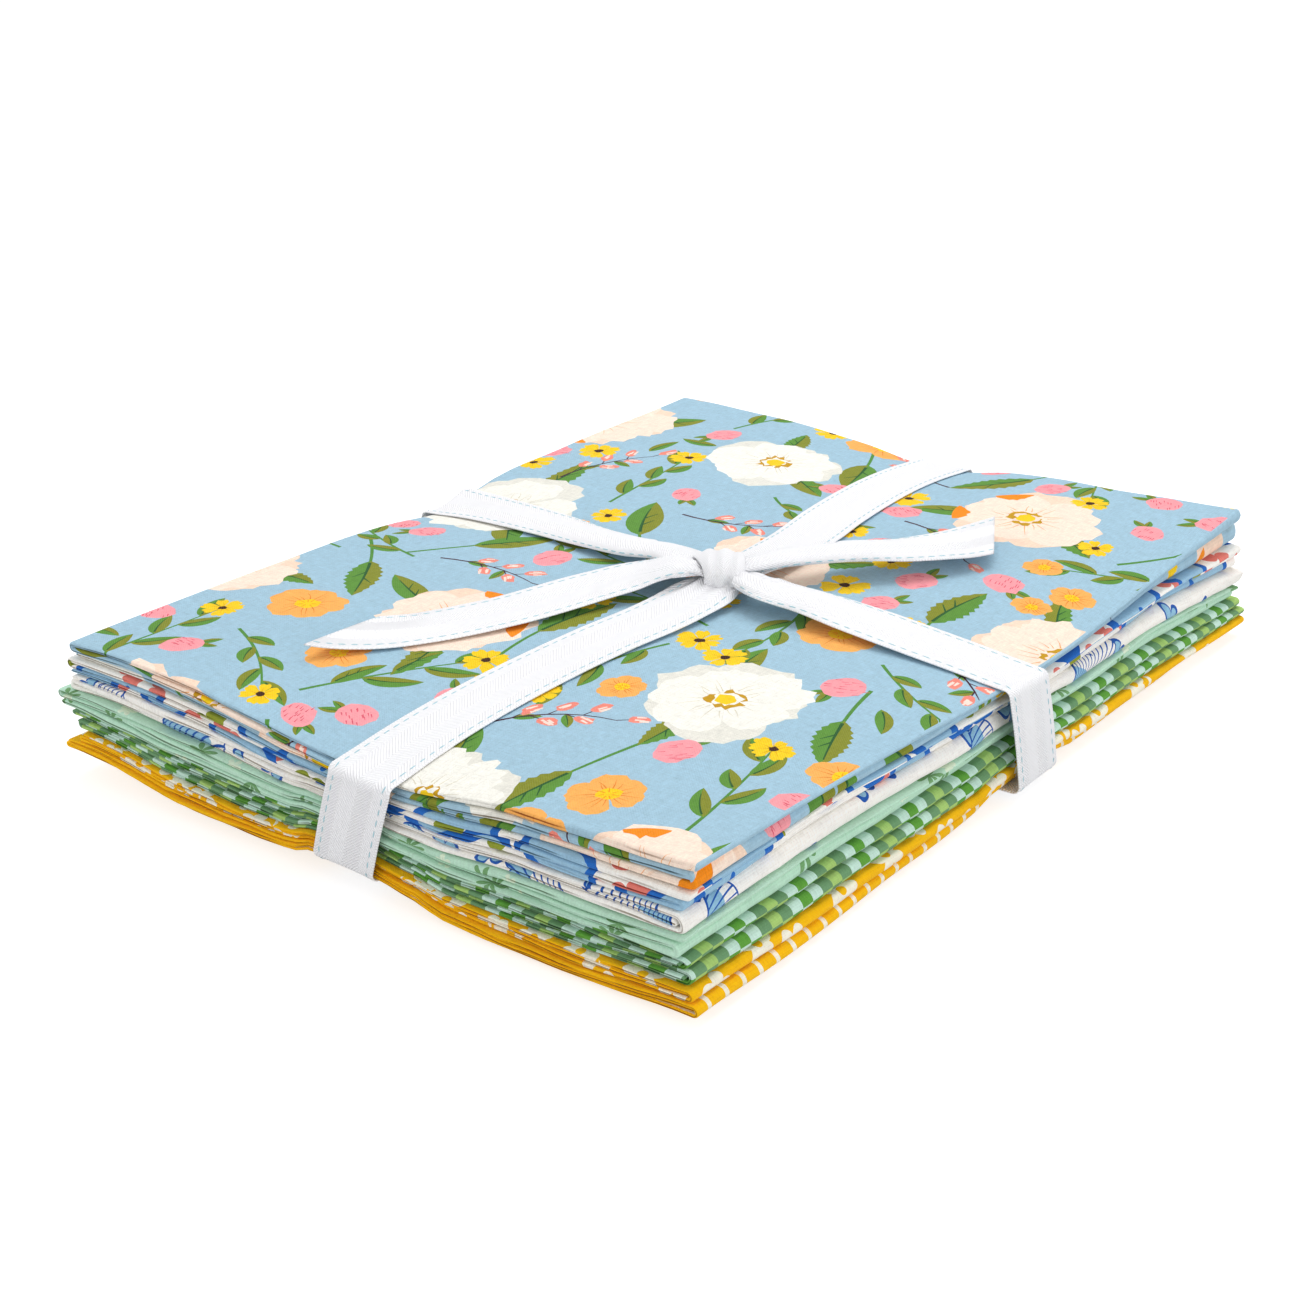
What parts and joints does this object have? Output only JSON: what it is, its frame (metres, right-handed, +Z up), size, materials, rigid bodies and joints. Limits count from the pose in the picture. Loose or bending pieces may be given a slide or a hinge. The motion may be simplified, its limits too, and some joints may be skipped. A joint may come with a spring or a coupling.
{
  "type": "fabric bundle",
  "caption": "Stack of folded printed cotton cuts tied crosswise with a knotted white twill ribbon.",
  "frame": {"origin": "centre of the bundle's outer box, on the surface that it lies on", "axes": "+X along the short side towards the rolled folds, +Y along the long side, +Z up out of the stack"},
  "size_m": [0.2321, 0.2959, 0.0526],
  "materials": {
    "cotton_blue_floral": "printed plain-weave cotton, matt",
    "cotton_white_blue_print": "printed plain-weave cotton, matt",
    "cotton_white_line_print": "printed plain-weave cotton, matt",
    "cotton_mint_sprig": "printed plain-weave cotton, matt",
    "cotton_gingham_sage": "printed plain-weave cotton, matt",
    "cotton_gingham_mint": "printed plain-weave cotton, matt",
    "cotton_yellow_floral": "printed plain-weave cotton, matt",
    "cotton_yellow_stripe": "printed plain-weave cotton, matt",
    "ribbon_white_twill": "herringbone twill tape, matt"
  },
  "bodies": {
    "root": {"cloth_1_blue_floral": "cotton_blue_floral", "cloth_2_white_blue_print": "cotton_white_blue_print", "cloth_3_white_line_print": "cotton_white_line_print", "cloth_4_mint_sprig": "cotton_mint_sprig", "cloth_5_gingham": "cotton_gingham_sage", "cloth_6_gingham": "cotton_gingham_mint", "cloth_7_yellow_floral": "cotton_yellow_floral", "cloth_8_yellow_stripe": "cotton_yellow_stripe", "ribbon": "ribbon_white_twill"}
  },
  "joints": []
}
